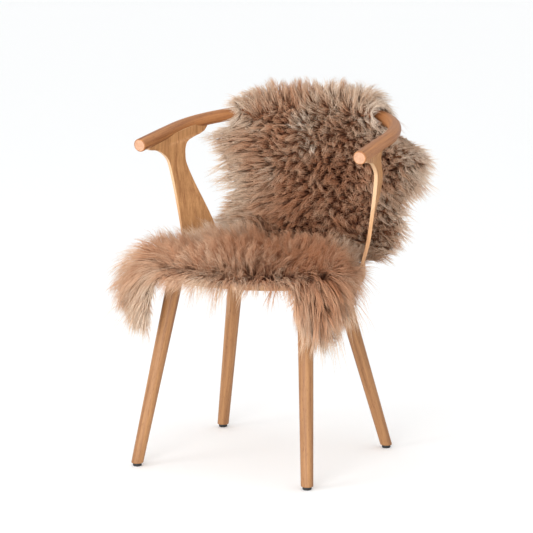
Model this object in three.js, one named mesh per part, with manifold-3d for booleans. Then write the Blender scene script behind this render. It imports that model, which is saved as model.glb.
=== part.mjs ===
// A long-wool sheepskin draped over a plain oak dining chair with arms.
// Millimetres, +Z up, the chair faces -Y, the floor is z = 0.
import * as THREE from 'three';
import { mergeVertices } from 'three/addons/utils/BufferGeometryUtils.js';
import Module from 'manifold-3d';

const wasm = await Module();
wasm.setup();

// Driving dimensions of the chair
const GAP = 0.3; // between wooden pieces that touch
const SEAT = {
  halfWidth: 232,
  halfDepth: 215,
  squareness: 2.15, // 2 is an oval, more is squarer
  bottom: 420,
  thickness: 13,
  round: 2, // rounding of its edge
  sides: 96,
};
const LEG = { bottom: 7, footRadius: 13.5, topRadius: 18, sides: 24 };
const LEG_PLACES = [
  { name: 'front_left', footX: -212, footY: -203, topX: -160, topY: -111 },
  { name: 'front_right', footX: 212, footY: -203, topX: 160, topY: -111 },
  { name: 'back_left', footX: -216, footY: 203, topX: -126, topY: 111 },
  { name: 'back_right', footX: 216, footY: 203, topX: 126, topY: 111 },
];
const GLIDE = { radius: 10, chamfer: 1.5, sides: 24 };
const RAIL = {
  backY: 322.8, // centre line at the middle of the back
  bend: 266.8, // radius of the bow, seen from above
  bendTurn: THREE.MathUtils.degToRad(88.2), // from the middle to each straight arm
  arm: 143.6, // straight length of each arm
  endZ: 700.9,
  backZ: 762.8,
  crown: 0.149, // how much the arms rise above a straight slope
  radius: 15,
  endChamfer: 2.5,
  sides: 20,
  steps: 64,
};
const RAIL_SLOPE = 0.14; // fall of the rail for each millimetre forward, near the back
const BOARD = 8; // thickness of the posts and of the back panel

// Right arm post: its front and rear edge at each level, its lower end level with the seat's flat
const POST_ROWS = [
  { frontX: 224, frontY: 38, frontZ: 412, rearX: 184, rearY: 136, rearZ: 412 },
  { frontX: 224, frontY: 38, frontZ: 434, rearX: 184, rearY: 136, rearZ: 434 },
  { frontX: 224, frontY: 38, frontZ: 446, rearX: 184, rearY: 136, rearZ: 446 },
  { frontX: 236, frontY: 46, frontZ: 500, rearX: 198, rearY: 132, rearZ: 500 },
  { frontX: 244, frontY: 44, frontZ: 550, rearX: 214, rearY: 116, rearZ: 550 },
  { frontX: 252, frontY: 40, frontZ: 600, rearX: 234, rearY: 101, rearZ: 600 },
  { frontX: 259, frontY: 33, frontZ: 645, rearX: 247, rearY: 86, rearZ: 645 },
  { frontX: 261, frontY: 23, frontZ: 663, rearX: 247, rearY: 80, rearZ: 666 },
  { frontX: 264, frontY: 4, frontZ: 677, rearX: 246, rearY: 80, rearZ: 686 },
  { frontX: 267, frontY: -15, frontZ: 684, rearX: 244, rearY: 94, rearZ: 701 },
  { frontX: 269, frontY: -44, frontZ: 688, rearX: 241, rearY: 158, rearZ: 716 },
  { frontX: 269, frontY: -44, frontZ: 701, rearX: 239, rearY: 178, rearZ: 742 },
];
const POST_STEPS = 5;
const ROW_STEPS = 3; // levels made for each row of a board's table

// Back panel: centre line and half width at each level; bow is its share of the rail's bend
const PANEL_ROWS = [
  { y: 207, z: 412, half: 70, bow: 0 },
  { y: 207, z: 434, half: 70, bow: 0 },
  { y: 207, z: 442, half: 70, bow: 0 },
  { y: 232, z: 500, half: 58, bow: 0.15 },
  { y: 258, z: 570, half: 52, bow: 0.4 },
  { y: 284, z: 640, half: 60, bow: 0.7 },
  { y: 303, z: 695, half: 84, bow: 0.9 },
  { y: 311, z: 722, half: 112, bow: 1 },
  { y: 316, z: 735, half: 132, bow: 1 },
  { y: 321, z: 748, half: 132, bow: 1 },
];
const PANEL_STEPS = 9;

// Driving dimensions of the sheepskin. The hide is described flat: across is measured from
// its middle line to the right, along from the seat's front edge, back, up and over the rail.
const HIDE = {
  startY: -215, // where along is 0
  lift: 0.4, // hide above the wood in the middle of the seat
  edgeLift: 3.1, // how much more it is lifted where it nears the seat's edge
  edgeNear: { from: 0.55, to: 0.82 }, // as a share of the way to the edge
  edgeRun: 14, // straight run past the seat's edge before it bends down
  edgeBend: 28, // radius of that bend
  hang: THREE.MathUtils.degToRad(86), // how steeply the flaps hang
};
const HIDE_PATH = [
  { stretch: 'seat', length: 372, turn: 0 },
  { stretch: 'crook', length: 78, turn: 75 },
  { stretch: 'back', length: 300, turn: 0 },
  { stretch: 'over the rail', length: 82, turn: -167 },
  { stretch: 'behind', length: 200, turn: 0 },
];
// How strongly the hide bends forward at its sides, by its place along (radius from above)
const BOW_ROWS = [
  { along: 380, curve: 0 },
  { along: 470, curve: 1 / 900 },
  { along: 620, curve: 1 / 680 },
  { along: 700, curve: 1 / 560 },
  { along: 750, curve: 1 / 237 },
  { along: 791, curve: 1 / 267 },
  { along: 832, curve: 1 / 295 },
  { along: 1030, curve: 1 / 330 },
];
// The seat's edge stops bending the hide down where the back begins
const EDGE_FADE = { from: 275, to: 395 };

// Outline of the hide, from the middle of the rump to the middle of the neck. Each row has the
// place on the middle line that its wool fans out from, and for each side the rim's place, how
// far the wool stands out past the rim, and how thick it is there as a share of the full pile
const RIM_ROWS = [
  {
    name: 'rump',
    from: 120,
    left: { across: 0, along: -16, wool: 32, thick: 1 },
    right: { across: 0, along: -16, wool: 32, thick: 1 },
  },
  {
    name: 'rump side',
    from: 132,
    left: { across: -84, along: -4, wool: 32, thick: 1 },
    right: { across: 84, along: 6, wool: 30, thick: 1 },
  },
  {
    name: 'flap root',
    from: 144,
    left: { across: -142, along: -2, wool: 26, thick: 1 },
    right: { across: 166, along: 16, wool: 26, thick: 1 },
  },
  {
    name: 'flap side',
    from: 156,
    left: { across: -200, along: -52, wool: 24, thick: 0.95 },
    right: { across: 232, along: -24, wool: 26, thick: 1 },
  },
  {
    name: 'flap tip',
    from: 172,
    left: { across: -248, along: -50, wool: 30, thick: 1.1 },
    right: { across: 298, along: -4, wool: 36, thick: 1 },
  },
  {
    name: 'flap back',
    from: 190,
    left: { across: -290, along: 30, wool: 34, thick: 1.4 },
    right: { across: 298, along: 66, wool: 26, thick: 1 },
  },
  {
    name: 'flank',
    from: 212,
    left: { across: -300, along: 136, wool: 36, thick: 1.5 },
    right: { across: 254, along: 140, wool: 22, thick: 1 },
  },
  {
    name: 'before post',
    from: 236,
    left: { across: -240, along: 204, wool: 20, thick: 1.45 },
    right: { across: 234, along: 204, wool: 16, thick: 1 },
  },
  {
    name: 'post',
    from: 290,
    left: { across: -186, along: 290, wool: 7, thick: 1.3 },
    right: { across: 186, along: 290, wool: 7, thick: 1.1 },
  },
  {
    name: 'post back',
    from: 345,
    left: { across: -160, along: 362, wool: 8, thick: 1.35 },
    right: { across: 160, along: 362, wool: 7, thick: 1.1 },
  },
  {
    name: 'behind post',
    from: 400,
    left: { across: -206, along: 414, wool: 28, thick: 1.35 },
    right: { across: 206, along: 406, wool: 28, thick: 1 },
  },
  {
    name: 'hip',
    from: 460,
    left: { across: -204, along: 478, wool: 28, thick: 1.15 },
    right: { across: 254, along: 478, wool: 30, thick: 1 },
  },
  {
    name: 'waist',
    from: 540,
    left: { across: -186, along: 552, wool: 24, thick: 1 },
    right: { across: 256, along: 545, wool: 26, thick: 1 },
  },
  {
    name: 'shoulder',
    from: 600,
    left: { across: -216, along: 618, wool: 26, thick: 1 },
    right: { across: 306, along: 600, wool: 32, thick: 1 },
  },
  {
    name: 'leg lobe',
    from: 650,
    left: { across: -240, along: 682, wool: 24, thick: 0.9 },
    right: { across: 330, along: 660, wool: 36, thick: 0.9 },
  },
  {
    name: 'under rail',
    from: 700,
    left: { across: -214, along: 710, wool: 9, thick: 0.4 },
    right: { across: 272, along: 694, wool: 12, thick: 0.4 },
  },
  {
    name: 'notch',
    from: 735,
    left: { across: -195, along: 744, wool: 4, thick: 0.45 },
    right: { across: 176, along: 738, wool: 5, thick: 0.45 },
  },
  {
    name: 'over rail',
    from: 775,
    left: { across: -216, along: 786, wool: 18, thick: 0.7 },
    right: { across: 172, along: 784, wool: 14, thick: 0.8 },
  },
  {
    name: 'neck',
    from: 820,
    left: { across: -196, along: 850, wool: 26, thick: 0.8 },
    right: { across: 172, along: 850, wool: 24, thick: 0.9 },
  },
  {
    name: 'neck side',
    from: 838,
    left: { across: -130, along: 925, wool: 28, thick: 1 },
    right: { across: 124, along: 925, wool: 28, thick: 1 },
  },
  {
    name: 'neck end',
    from: 852,
    left: { across: 0, along: 950, wool: 30, thick: 1 },
    right: { across: 0, along: 950, wool: 30, thick: 1 },
  },
];
const WOOL = {
  seatPile: 58, // height of the wool above the hide, on the seat and on the back
  backPile: 46,
  seatEnd: { from: 350, to: 450 },
  lump: 0.12, // how uneven it is
  lock: 14, // how far the locks at the rim stick out and draw back
  shortRim: 20, // where the wool stands out less than this, so do the locks
  locks: 76,
};
// Where seat and back press the wool together: its place, half its length, and how much is lost
const CROOK = { along: 412, reach: 50, press: 0.15 };
// The hide and the wool as rings: share of the way to the rim, share of the wool's reach past
// the rim, and share of the pile
const RINGS = [
  { share: 0, past: 0, pile: 0 },
  { share: 0.2, past: 0, pile: 0 },
  { share: 0.4, past: 0, pile: 0 },
  { share: 0.56, past: 0, pile: 0 },
  { share: 0.68, past: 0, pile: 0 },
  { share: 0.77, past: 0, pile: 0 },
  { share: 0.84, past: 0, pile: 0 },
  { share: 0.92, past: 0, pile: 0 },
  { share: 1, past: 0, pile: 0 },
  { share: 1, past: 1, pile: 0.2, isLocks: true },
  { share: 1, past: 0.5, pile: 0.52 },
  { share: 0.93, past: 0, pile: 0.74 },
  { share: 0.84, past: 0, pile: 0.87 },
  { share: 0.74, past: 0, pile: 0.95 },
  { share: 0.62, past: 0, pile: 1 },
  { share: 0.48, past: 0, pile: 1 },
  { share: 0.32, past: 0, pile: 1 },
  { share: 0.16, past: 0, pile: 1 },
  { share: 0, past: 0, pile: 1 },
];

const OAK = { color: 0xc99a66, roughness: 0.55, metalness: 0 };
const OAK_PLY = { color: 0xcda070, roughness: 0.55, metalness: 0 };
const BLACK = { color: 0x1b1b1c, roughness: 0.6, metalness: 0 };
const FLEECE = { color: 0x9a7358, roughness: 0.95, metalness: 0 };

const chair = new THREE.Group();

function addMesh(name, geometry, look) {
  geometry.computeVertexNormals();
  const mesh = new THREE.Mesh(geometry, new THREE.MeshStandardMaterial(look));
  mesh.name = name;
  chair.add(mesh);
  return mesh;
}

// A closed body from shared points and faces, turned so that its faces point out
function closedBody(points, faces) {
  let volume = 0;
  for (const [a, b, c] of faces) {
    volume += points[a].dot(new THREE.Vector3().crossVectors(points[b], points[c]));
  }
  const indices = faces.flatMap(([a, b, c]) => (volume < 0 ? [a, c, b] : [a, b, c]));
  const geometry = new THREE.BufferGeometry().setFromPoints(points);
  geometry.setIndex(indices);
  return geometry;
}

// A body through rings of equal count; its ends are closed by strips across the ring
function loft(rings) {
  const count = rings[0].length;
  const faces = [];
  const quad = (a, b, c, d) => faces.push([a, b, c], [a, c, d]);
  for (let k = 0; k + 1 < rings.length; k += 1) {
    for (let i = 0; i < count; i += 1) {
      const next = (i + 1) % count;
      const low = k * count;
      const high = low + count;
      quad(low + i, low + next, high + next, high + i);
    }
  }
  const last = (rings.length - 1) * count;
  for (let i = 0; i + 1 < count / 2; i += 1) {
    const far = count - 1 - i;
    quad(i, far, far - 1, i + 1);
    quad(last + i, last + i + 1, last + far - 1, last + far);
  }
  return closedBody(rings.flat(), faces);
}

function toSolid(geometry) {
  const { Manifold, Mesh } = wasm;
  const vertProperties = Float32Array.from(geometry.getAttribute('position').array);
  const triVerts = Uint32Array.from(geometry.index.array);
  return new Manifold(new Mesh({ numProp: 3, vertProperties, triVerts }));
}

function toGeometry(solid) {
  const { vertProperties, triVerts, numProp } = solid.getMesh();
  const points = [];
  for (let i = 0; i < vertProperties.length; i += numProp) {
    points.push(vertProperties[i], vertProperties[i + 1], vertProperties[i + 2]);
  }
  const geometry = new THREE.BufferGeometry();
  geometry.setAttribute('position', new THREE.Float32BufferAttribute(points, 3));
  geometry.setIndex(new THREE.Uint32BufferAttribute(triVerts, 1));
  return geometry;
}

function merged(geometry) {
  geometry.deleteAttribute('normal');
  geometry.deleteAttribute('uv');
  return mergeVertices(geometry, 0.001);
}

// The rail's centre line, from the left arm's end round the back to the right arm's end
class RailLine extends THREE.Curve {
  getPoint(share, target = new THREE.Vector3()) {
    const { backY, bend, bendTurn, arm, endZ, backZ, crown } = RAIL;
    const half = bend * bendTurn + arm;
    const travel = (2 * share - 1) * half;
    const turn = Math.min(Math.abs(travel) / bend, bendTurn);
    const straight = Math.max(Math.abs(travel) - bend * bendTurn, 0);
    const x = bend * Math.sin(turn) + straight * Math.cos(bendTurn);
    const y = backY - bend * (1 - Math.cos(turn)) - straight * Math.sin(bendTurn);
    const endY = backY - bend * (1 - Math.cos(bendTurn)) - arm * Math.sin(bendTurn);
    const rise = (y - endY) / (backY - endY);
    const z = endZ + (backZ - endZ) * (rise + crown * rise * (1 - rise));
    return target.set(Math.sign(travel) * x, y, z);
  }
}
const railLine = new RailLine();

function railRing(share, radius) {
  const centre = railLine.getPoint(share);
  const along = railLine.getTangent(share);
  const side = new THREE.Vector3().crossVectors(along, new THREE.Vector3(0, 0, 1)).normalize();
  const up = new THREE.Vector3().crossVectors(side, along);
  return Array.from({ length: RAIL.sides }, (_, i) => {
    const angle = (2 * Math.PI * (i + 0.5)) / RAIL.sides;
    const point = centre.clone().addScaledVector(side, radius * Math.cos(angle));
    return point.addScaledVector(up, radius * Math.sin(angle));
  });
}

function railBody(radius, stretch = 0) {
  const length = railLine.getLength();
  const cut = RAIL.endChamfer / length;
  const endRadius = radius - RAIL.endChamfer;
  const rings = [railRing(-stretch / length, endRadius)];
  for (let k = 0; k <= RAIL.steps; k += 1) {
    rings.push(railRing(cut + (1 - 2 * cut) * (k / RAIL.steps), radius));
  }
  rings.push(railRing(1 + stretch / length, endRadius));
  return loft(rings);
}

// Values of a table's columns at a row number that may fall between rows
function between(rows, column, place) {
  const i = THREE.MathUtils.clamp(Math.floor(place), 0, rows.length - 2);
  return THREE.MathUtils.lerp(rows[i][column], rows[i + 1][column], place - i);
}

function smoothBetween(rows, column, place) {
  const i = THREE.MathUtils.clamp(Math.floor(place), 0, rows.length - 2);
  const value = (k) => rows[THREE.MathUtils.clamp(k, 0, rows.length - 1)][column];
  const t = place - i;
  const [a, b, c, d] = [value(i - 1), value(i), value(i + 1), value(i + 2)];
  const square = (2 * a - 5 * b + 4 * c - d) * t ** 2;
  const cube = (3 * b - a - 3 * c + d) * t ** 3;
  return 0.5 * (2 * b + (c - a) * t + square + cube);
}

// A board: rows of points across it, thickened to both sides, seen from above
function boardBody(rows, thickness) {
  const rings = rows.map((row) => {
    const faces = [-thickness / 2, thickness / 2].map((offset) => row.map((point, i) => {
      const ahead = row[Math.min(i + 1, row.length - 1)];
      const behind = row[Math.max(i - 1, 0)];
      const run = new THREE.Vector3().subVectors(ahead, behind).setZ(0).normalize();
      return point.clone().add(new THREE.Vector3(-run.y, run.x, 0).multiplyScalar(offset));
    }));
    return [...faces[0], ...faces[1].reverse()];
  });
  return loft(rings);
}

function levels(rows) {
  const count = (rows.length - 1) * ROW_STEPS + 1;
  return Array.from({ length: count }, (_, k) => (column) => smoothBetween(rows, column, k / ROW_STEPS));
}

function postRows(side) {
  return levels(POST_ROWS).map((at) => Array.from({ length: POST_STEPS }, (_, i) => {
    const share = i / (POST_STEPS - 1);
    return new THREE.Vector3(
      side * THREE.MathUtils.lerp(at('frontX'), at('rearX'), share),
      THREE.MathUtils.lerp(at('frontY'), at('rearY'), share),
      THREE.MathUtils.lerp(at('frontZ'), at('rearZ'), share),
    );
  }));
}

function panelRows() {
  return levels(PANEL_ROWS).map((at) => Array.from({ length: PANEL_STEPS }, (_, i) => {
    const x = at('half') * ((2 * i) / (PANEL_STEPS - 1) - 1);
    const sag = at('bow') * (RAIL.bend - Math.sqrt(RAIL.bend ** 2 - x ** 2));
    return new THREE.Vector3(x, at('y') - sag, at('z') - sag * RAIL_SLOPE);
  }));
}

const railSpace = toSolid(railBody(RAIL.radius + GAP, GAP));

// Seat: a rounded moulded board, flat where each post and the panel stands against it
function seatOutline(angle) {
  const c = Math.abs(Math.cos(angle));
  const s = Math.abs(Math.sin(angle));
  const n = SEAT.squareness;
  const reach = ((c / SEAT.halfWidth) ** n + (s / SEAT.halfDepth) ** n) ** (-1 / n);
  return new THREE.Vector2(reach * Math.cos(angle), reach * Math.sin(angle));
}

// What a board's foot takes off the seat's edge, from the board's inner face outward
function seatFlat(front, rear) {
  const size = SEAT.halfWidth / 2;
  const run = new THREE.Vector3().subVectors(rear, front).setZ(0);
  const middle = new THREE.Vector3().addVectors(front, rear).multiplyScalar(0.5);
  const out = new THREE.Vector3(run.y, -run.x, 0).normalize();
  if (out.dot(middle) < 0) out.negate();
  const cutter = merged(new THREE.BoxGeometry(size, run.length() * 3, size));
  cutter.rotateZ(Math.atan2(out.y, out.x));
  const place = middle.clone().addScaledVector(out, size / 2 - BOARD / 2 - GAP);
  cutter.translate(place.x, place.y, place.z);
  return toSolid(cutter);
}

function addSeat() {
  const { bottom, thickness, round, sides } = SEAT;
  const points = Array.from({ length: sides }, (_, i) => seatOutline((2 * Math.PI * i) / sides));
  const plate = merged(new THREE.ExtrudeGeometry(new THREE.Shape(points), {
    depth: thickness - 2 * round,
    bevelSize: round,
    bevelThickness: round,
    bevelOffset: -round,
    bevelSegments: 2,
  }));
  plate.translate(0, 0, bottom + round);
  let solid = toSolid(plate);
  const stands = [...[-1, 1].map((side) => postRows(side)[0]), panelRows()[0]];
  for (const row of stands) solid = solid.subtract(seatFlat(row[0], row[row.length - 1]));
  addMesh('seat_panel', toGeometry(solid), OAK_PLY);
}

// Legs: round and tapered, level at both ends, leaning outward
function legCentre({ footX, footY, topX, topY }, z) {
  const share = z / SEAT.bottom;
  return {
    x: THREE.MathUtils.lerp(footX, topX, share),
    y: THREE.MathUtils.lerp(footY, topY, share),
  };
}

function legBody(place) {
  const height = SEAT.bottom - GAP - LEG.bottom;
  const leg = merged(new THREE.CylinderGeometry(LEG.topRadius, LEG.footRadius, height, LEG.sides));
  leg.rotateX(Math.PI / 2);
  const position = leg.getAttribute('position');
  for (let i = 0; i < position.count; i += 1) {
    const z = position.getZ(i) + height / 2 + LEG.bottom;
    const centre = legCentre(place, z);
    position.setXYZ(i, position.getX(i) + centre.x, position.getY(i) + centre.y, z);
  }
  return leg;
}

function glideBody(place) {
  const { radius, chamfer, sides } = GLIDE;
  const top = LEG.bottom - GAP;
  const profile = [
    new THREE.Vector2(0, 0),
    new THREE.Vector2(radius - chamfer, 0),
    new THREE.Vector2(radius, chamfer),
    new THREE.Vector2(radius, top),
    new THREE.Vector2(0, top),
  ];
  const glide = merged(new THREE.LatheGeometry(profile, sides));
  glide.rotateX(Math.PI / 2);
  const centre = legCentre(place, LEG.bottom);
  glide.translate(centre.x, centre.y, 0);
  return glide;
}

function addLegs() {
  for (const place of LEG_PLACES) {
    addMesh(`leg_${place.name}`, legBody(place), OAK);
    addMesh(`glide_${place.name}`, glideBody(place), BLACK);
  }
}

function addBoards() {
  const boards = [
    { name: 'arm_post_left', rows: postRows(-1) },
    { name: 'arm_post_right', rows: postRows(1) },
    { name: 'back_panel', rows: panelRows() },
  ];
  for (const { name, rows } of boards) {
    addMesh(name, toGeometry(toSolid(boardBody(rows, BOARD)).subtract(railSpace)), OAK_PLY);
  }
}

// Sheepskin: the middle line of the hide, as a place and a heading in the chair's middle plane
function hidePath(along) {
  let y = HIDE.startY;
  let z = SEAT.bottom + SEAT.thickness + HIDE.lift;
  let heading = 0;
  let left = along;
  HIDE_PATH.forEach(({ length, turn }, i) => {
    const isLast = i === HIDE_PATH.length - 1;
    const run = isLast ? left : Math.min(left, length);
    if (i > 0 && run <= 0) return;
    const angle = THREE.MathUtils.degToRad(turn) * (run / length);
    if (turn === 0) {
      y += run * Math.cos(heading);
      z += run * Math.sin(heading);
    } else {
      const radius = run / angle;
      y += radius * (Math.sin(heading + angle) - Math.sin(heading));
      z += radius * (Math.cos(heading) - Math.cos(heading + angle));
    }
    heading += angle;
    left -= run;
  });
  return { y, z, heading };
}

function bowCurve(along) {
  const rows = BOW_ROWS;
  if (along <= rows[0].along) return 0;
  const i = Math.min(rows.findLastIndex((row) => row.along <= along), rows.length - 2);
  const t = Math.min((along - rows[i].along) / (rows[i + 1].along - rows[i].along), 1);
  return THREE.MathUtils.lerp(rows[i].curve, rows[i + 1].curve, t);
}

// The hide in space: bowed round the back, and bent down past the seat's edge
function drape(across, along) {
  const { y, z } = hidePath(along);
  const curve = bowCurve(along);
  const turn = across * curve;
  const x = curve > 0 ? Math.sin(turn) / curve : across;
  const forward = curve > 0 ? (1 - Math.cos(turn)) / curve : 0;
  const point = new THREE.Vector3(x, y - forward, z - forward * RAIL_SLOPE);

  const fade = 1 - THREE.MathUtils.smoothstep(along, EDGE_FADE.from, EDGE_FADE.to);
  const edge = seatOutline(Math.atan2(point.y, point.x)).length();
  const reach = Math.hypot(point.x, point.y);
  point.z += HIDE.edgeLift * THREE.MathUtils.smoothstep(reach / edge, HIDE.edgeNear.from, HIDE.edgeNear.to);
  const beyond = reach - edge - HIDE.edgeRun;
  if (beyond <= 0 || fade === 0) return point;
  const bent = Math.min(beyond / HIDE.edgeBend, HIDE.hang);
  const rest = beyond - bent * HIDE.edgeBend;
  const out = HIDE.edgeBend * Math.sin(bent) + rest * Math.cos(bent);
  const drop = HIDE.edgeBend * (1 - Math.cos(bent)) + rest * Math.sin(bent);
  const direction = new THREE.Vector3(point.x, point.y, 0).normalize();
  const hung = direction.clone().multiplyScalar(edge + HIDE.edgeRun + out).setZ(point.z - drop);
  return point.lerp(hung, fade);
}

function pileDirection(across, along) {
  const step = 2;
  const right = drape(across + step, along).sub(drape(across - step, along));
  const onward = drape(across, along + step).sub(drape(across, along - step));
  return right.cross(onward).normalize();
}

// Height of the wool: fine lumps that wander, on broad ones, and less in the crook of the seat
function pileHeight(across, along) {
  const acrossLumps = Math.sin(across / 21 + 1.4 * Math.sin(along / 37));
  const alongLumps = Math.cos(along / 26 + Math.sin(across / 45));
  const broadLumps = Math.sin(across / 58 + 2.1) * Math.sin(along / 71 + 0.6);
  const lumps = 1 + WOOL.lump * (acrossLumps * alongLumps + broadLumps);
  const crook = Math.exp(-(((along - CROOK.along) / CROOK.reach) ** 2));
  const onBack = THREE.MathUtils.smoothstep(along, WOOL.seatEnd.from, WOOL.seatEnd.to);
  const pile = THREE.MathUtils.lerp(WOOL.seatPile, WOOL.backPile, onBack);
  return pile * lumps * (1 - CROOK.press * crook);
}

// One of the fleece's points: on a ring, and round it up the right side and down the left
function fleecePoint(ring, i) {
  const around = 2 * WOOL.locks;
  const side = i <= WOOL.locks ? 'right' : 'left';
  const place = (Math.min(i, around - i) / WOOL.locks) * (RIM_ROWS.length - 1);
  const rows = RIM_ROWS.map((row) => row[side]);
  const at = (column) => smoothBetween(rows, column, place);
  const rim = new THREE.Vector2(at('across'), at('along'));
  const centre = new THREE.Vector2(0, between(RIM_ROWS, 'from', place));
  const out = rim.clone().sub(centre).normalize();
  const lock = ring.isLocks ? WOOL.lock * Math.min(at('wool') / WOOL.shortRim, 1) : 0;
  const past = ring.past * at('wool') + (i % 2 === 0 ? lock / 2 : -lock / 2);
  const flat = centre.lerp(rim, ring.share).addScaledVector(out, past);
  const thick = THREE.MathUtils.lerp(1, at('thick'), ring.share ** 2);
  const height = ring.pile * thick * pileHeight(flat.x, flat.y);
  return drape(flat.x, flat.y).addScaledVector(pileDirection(flat.x, flat.y), height);
}

function addSheepskin() {
  const around = 2 * WOOL.locks;
  const points = [];
  const numbers = RINGS.map((ring) => {
    const row = [];
    for (let i = 0; i < around; i += 1) {
      // On the middle line the left side shares the right side's points
      const isShared = ring.share === 0 && i > WOOL.locks;
      row.push(isShared ? row[around - i] : points.push(fleecePoint(ring, i)) - 1);
    }
    return row;
  });
  const faces = [];
  for (let r = 0; r + 1 < RINGS.length; r += 1) {
    for (let i = 0; i < around; i += 1) {
      const next = (i + 1) % around;
      const [a, b, c, d] = [numbers[r][i], numbers[r][next], numbers[r + 1][next], numbers[r + 1][i]];
      if (a !== b) faces.push([a, b, c]);
      if (c !== d) faces.push([a, c, d]);
    }
  }
  addMesh('sheepskin', closedBody(points, faces), FLEECE);
}

addSeat();
addLegs();
addBoards();
addMesh('top_rail', railBody(RAIL.radius), OAK);
addSheepskin();

// The origin is under the middle of the whole thing's box, on the floor
const box = new THREE.Box3().setFromObject(chair);
const middle = box.getCenter(new THREE.Vector3());
chair.position.set(-middle.x, -middle.y, -box.min.z);

export default chair;
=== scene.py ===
# %% [markdown]
# # A long-wool sheepskin on an oak chair
# The wooden chair is plain: round legs, a thin moulded seat, two thin arm posts and one bent
# round rail. The fleece is the subject. It is one whole hide, so its leather is made as one
# sheet in the shape in which it hangs, and its wool as many thousands of small locks that
# grow out of that sheet. Everything sits in the frame of the packed solids.

# %% The frame
import math

import bpy
import numpy as np
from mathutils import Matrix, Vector
from mathutils.bvhtree import BVHTree


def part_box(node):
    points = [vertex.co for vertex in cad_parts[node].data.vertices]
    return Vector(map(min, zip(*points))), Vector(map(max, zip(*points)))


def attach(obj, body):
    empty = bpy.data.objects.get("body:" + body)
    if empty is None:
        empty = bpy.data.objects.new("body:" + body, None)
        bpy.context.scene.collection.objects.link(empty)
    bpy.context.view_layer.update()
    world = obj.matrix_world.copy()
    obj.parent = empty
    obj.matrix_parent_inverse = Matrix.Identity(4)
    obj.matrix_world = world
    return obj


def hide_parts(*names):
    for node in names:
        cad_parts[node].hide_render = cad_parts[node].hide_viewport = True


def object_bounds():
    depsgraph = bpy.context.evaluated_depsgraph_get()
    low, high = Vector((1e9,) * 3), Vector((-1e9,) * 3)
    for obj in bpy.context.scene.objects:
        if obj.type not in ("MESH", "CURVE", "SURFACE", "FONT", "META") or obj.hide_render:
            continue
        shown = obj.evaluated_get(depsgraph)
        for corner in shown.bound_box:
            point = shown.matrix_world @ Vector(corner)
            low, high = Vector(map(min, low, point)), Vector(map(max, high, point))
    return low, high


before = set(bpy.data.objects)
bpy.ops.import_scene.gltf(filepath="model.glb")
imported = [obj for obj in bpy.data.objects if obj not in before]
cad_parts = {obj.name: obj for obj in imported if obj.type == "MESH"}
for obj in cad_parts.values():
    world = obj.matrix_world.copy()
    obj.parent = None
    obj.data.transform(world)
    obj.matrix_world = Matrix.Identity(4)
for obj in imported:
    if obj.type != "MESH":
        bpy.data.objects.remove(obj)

CAD_BOX = [list(corner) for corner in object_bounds()]
SIDES = ("front_left", "front_right", "back_left", "back_right")
glide_middles = [sum(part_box(f"glide_{side}"), Vector()) / 2 for side in SIDES]
CHAIR = sum(glide_middles, Vector()) / 4
CHAIR.z = 0.0
print("the chair stands round", [round(v, 4) for v in CHAIR])

# %% [markdown]
# The camera stands where the photograph was taken: low, in front and to the right, and far
# enough away for a long lens. The frame is square, so the focal length in pixels gives the
# lens. The colours are shown as they are, without a film look, so that white stays white.

# %% Camera
AZIMUTH = math.radians(27.58)
ELEVATION = math.radians(9.47)
CAMERA_PLACE = Vector((2.0694, -3.9458, 1.1791))
FOCAL_PIXELS = 2024.3
FRAME_PIXELS = 533
SENSOR = 36.0


def stand(name, data):
    made = bpy.data.objects.new(name, data)
    bpy.context.scene.collection.objects.link(made)
    return made


def make_camera():
    data = bpy.data.cameras.new("camera")
    data.sensor_width = SENSOR
    data.lens = FOCAL_PIXELS / FRAME_PIXELS * SENSOR
    data.clip_end = 200.0
    camera = stand("camera", data)
    flat = math.cos(ELEVATION)
    back = Vector((math.sin(AZIMUTH) * flat, -math.cos(AZIMUTH) * flat, math.sin(ELEVATION)))
    camera.location = CAMERA_PLACE + CHAIR
    camera.rotation_euler = back.to_track_quat("Z", "Y").to_euler()
    bpy.context.scene.camera = camera
    return camera


camera = make_camera()
bpy.context.scene.view_settings.view_transform = "Standard"
print("lens", round(camera.data.lens, 1), "mm")

# %% [markdown]
# A studio sweep is one pale floor that never ends, lit from all round, so the chair throws
# only soft shadows. The sky gives most of the light. A wide lamp in front, no higher than the
# chair, lights the wool of the back, and a weaker one from the left models it.

# %% Floor and light
FLOOR_SIZE = 120.0
FLOOR_WHITE, FLOOR_ROUGHNESS = (0.972, 0.984, 0.99), 0.9
SKY_STRENGTH = 1.0
LAMPS = [
    {"name": "key", "place": (-2.1, -3.1, 1.35), "size": 1.8, "power": 34.0},
    {"name": "front", "place": (0.7, -3.9, 1.0), "size": 2.4, "power": 112.0},
]
LAMP_AIM = Vector((0, 0, 0.45))


def material(name):
    made = bpy.data.materials.new(name)
    made.use_nodes = True
    return made, made.node_tree, made.node_tree.nodes["Principled BSDF"]


def mesh_object(name, vertices, faces):
    mesh = bpy.data.meshes.new(name)
    mesh.from_pydata([tuple(v) for v in vertices], [], [tuple(f) for f in faces])
    mesh.validate()
    return stand(name, mesh)


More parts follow.
